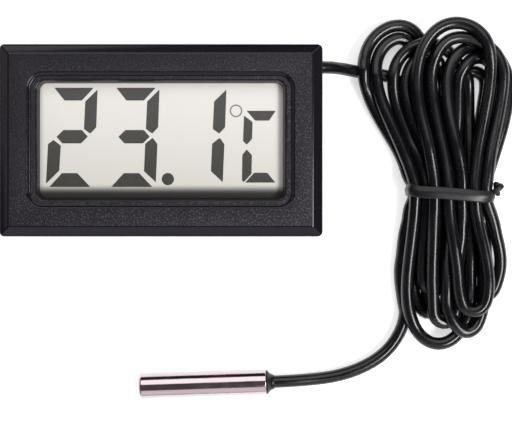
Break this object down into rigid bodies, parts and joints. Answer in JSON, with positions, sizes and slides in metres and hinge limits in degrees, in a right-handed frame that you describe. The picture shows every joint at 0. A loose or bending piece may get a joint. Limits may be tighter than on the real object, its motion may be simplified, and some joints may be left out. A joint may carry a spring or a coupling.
{
  "type": "panel thermometer",
  "caption": "Digital panel thermometer with a bevelled bezel, a recessed display, side snap clips, a sliding battery cover and a steel probe on a tied cord.",
  "frame": {"origin": "under the middle of the case, on the plane of its rear face; the cord, its tie and the probe don't count", "axes": "+X to the display's right, +Y up the display, +Z out through the display"},
  "size_m": [0.0778, 0.0601, 0.0152],
  "materials": {
    "case_plastic": "spark-textured black ABS",
    "cover_plastic": "fine matt black ABS",
    "display_film": "grey reflective polariser",
    "display_glass": "clear",
    "conductive_rubber": "striped silicone rubber",
    "board_laminate": "green solder mask",
    "black_resin": "cured epoxy",
    "chip_ceramic": "fired ceramic, tinned ends",
    "capacitor_ceramic": "fired ceramic, tinned ends",
    "plated_steel": "nickel plated",
    "screw_steel": "zinc plated",
    "gasket_nylon": "natural nylon",
    "spring_brass": "bright strip",
    "solder": "bright solder",
    "wire_insulation": "extruded PVC",
    "glue": "hot-melt glue",
    "cord_pvc": "smooth black PVC",
    "tie_plastic": "matt black plastic over wire",
    "probe_steel": "polished stainless steel",
    "thermistor_glass": "epoxy dipped"
  },
  "bodies": {
    "root": {"front_housing": "case_plastic", "rear_cover": "cover_plastic", "lcd_front_polariser": "display_film", "lcd_front_glass": "display_glass", "lcd_rear_glass": "display_glass", "lcd_reflector": "display_film", "rubber_strip_upper": "conductive_rubber", "rubber_strip_lower": "conductive_rubber", "circuit_board": "board_laminate", "board_screws": "screw_steel", "chip_resin_cap": "black_resin", "board_resistors": "chip_ceramic", "board_capacitors": "capacitor_ceramic", "cell_left_can": "plated_steel", "cell_left_gasket": "gasket_nylon", "cell_left_cap": "plated_steel", "cell_right_can": "plated_steel", "cell_right_gasket": "gasket_nylon", "cell_right_cap": "plated_steel", "contact_negative": "spring_brass", "contact_positive": "spring_brass", "sensor_wire_upper": "wire_insulation", "sensor_wire_lower": "wire_insulation", "solder_joints": "solder", "cord_glue_bead": "glue", "cord_lead": "cord_pvc", "cord_hank": "cord_pvc", "cord_tail": "cord_pvc", "cord_tie": "tie_plastic", "probe_sleeve": "probe_steel", "probe_seal": "black_resin", "thermistor_bead": "thermistor_glass", "thermistor_legs": "solder"},
    "battery_cover": {"battery_cover": "cover_plastic", "contact_bridge": "spring_brass"},
    "clip_left": {"snap_clip_left": "case_plastic"},
    "clip_right": {"snap_clip_right": "case_plastic"}
  },
  "joints": [
    {"name": "battery_cover_slide", "type": "slide", "parent": "root", "child": "battery_cover", "axis": [0, -1, 0], "range_m": [0, 0.016]},
    {"name": "clip_left_hinge", "type": "hinge", "parent": "root", "child": "clip_left", "pos_m": [-0.0225, 0, 0.0031], "axis": [0, 1, 0], "range_deg": [0, 6.5], "stiffness_Nm_per_rad": 0.05},
    {"name": "clip_right_hinge", "type": "hinge", "parent": "root", "child": "clip_right", "pos_m": [0.0225, 0, 0.0031], "axis": [0, -1, 0], "range_deg": [0, 6.5], "stiffness_Nm_per_rad": 0.05}
  ]
}
